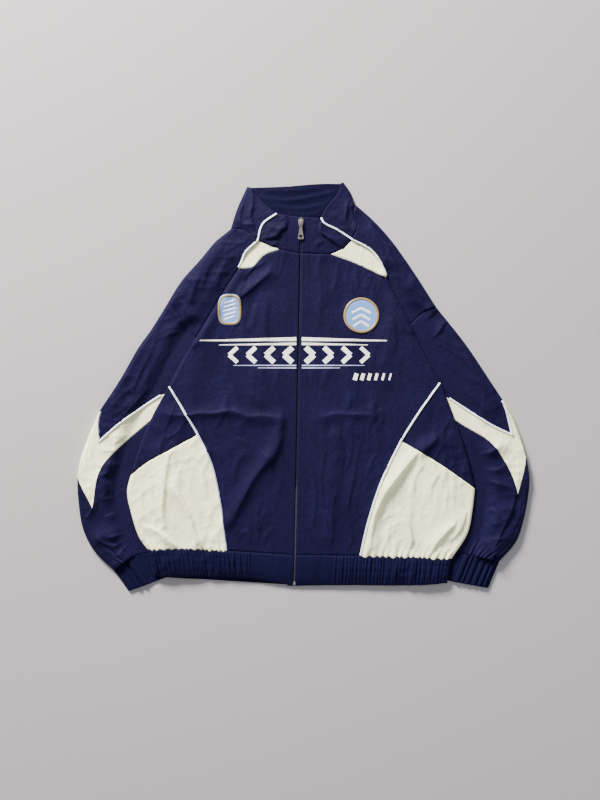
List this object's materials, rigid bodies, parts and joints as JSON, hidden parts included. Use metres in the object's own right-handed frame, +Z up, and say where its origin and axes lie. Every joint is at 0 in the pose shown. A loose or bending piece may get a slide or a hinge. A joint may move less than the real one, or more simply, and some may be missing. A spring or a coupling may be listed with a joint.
{
  "type": "windbreaker",
  "caption": "Light zip-front windbreaker laid out flat with its front up: stand collar, colour-blocked panels with piping, elastic hem band and cuffs, hinged pull tab.",
  "frame": {"origin": "bottom centre of the bounding box, on the surface that the garment lies on", "axes": "+X to the wearer's left sleeve, across the front as seen from above; +Y from the hem to the collar; +Z up, away from the surface"},
  "size_m": [0.8158, 0.7388, 0.0214],
  "materials": {
    "navy_shell": "plain-woven synthetic shell cloth with a slight sheen",
    "ribbed_elastic": "the same shell cloth, drawn up over elastic",
    "cream_shell": "plain-woven synthetic shell cloth, off-white",
    "woven_tape": "matt woven tape",
    "piping_cord": "satin-woven corded piping",
    "pale_patch": "embroidered",
    "gold_patch": "embroidered",
    "cast_zinc": "plated, satin"
  },
  "bodies": {
    "jacket": {"back": "navy_shell", "collar_back": "navy_shell", "collar_front_left": "navy_shell", "collar_front_right": "navy_shell", "collar_side_left": "navy_shell", "collar_side_right": "navy_shell", "cuff_left": "ribbed_elastic", "cuff_right": "ribbed_elastic", "front_left": "navy_shell", "front_right": "navy_shell", "hem_band_back": "ribbed_elastic", "hem_band_left": "ribbed_elastic", "hem_band_right": "ribbed_elastic", "patch_left": "pale_patch", "patch_right": "gold_patch", "piping_neck_left": "piping_cord", "piping_neck_right": "piping_cord", "piping_side_left": "piping_cord", "piping_side_right": "piping_cord", "piping_sleeve_left": "piping_cord", "piping_sleeve_right": "piping_cord", "shoulder_left": "navy_shell", "shoulder_right": "navy_shell", "side_lower_left": "cream_shell", "side_lower_right": "cream_shell", "side_upper_left": "navy_shell", "side_upper_right": "navy_shell", "sleeve_back_left": "navy_shell", "sleeve_back_right": "navy_shell", "sleeve_inset_left": "cream_shell", "sleeve_inset_right": "cream_shell", "sleeve_lower_left": "navy_shell", "sleeve_lower_right": "navy_shell", "sleeve_upper_left": "navy_shell", "sleeve_upper_right": "navy_shell", "yoke_inset_left": "cream_shell", "yoke_inset_right": "cream_shell", "zip_slider": "cast_zinc", "zip_tape_left": "woven_tape", "zip_tape_right": "woven_tape"},
    "pull": {"pull_tab": "cast_zinc"}
  },
  "joints": [
    {"name": "pull_hinge", "type": "hinge", "parent": "jacket", "child": "pull", "pos_m": [-0.005, 0.291, 0.01896], "axis": [-1, 0, 0], "range_deg": [0, 150]}
  ]
}
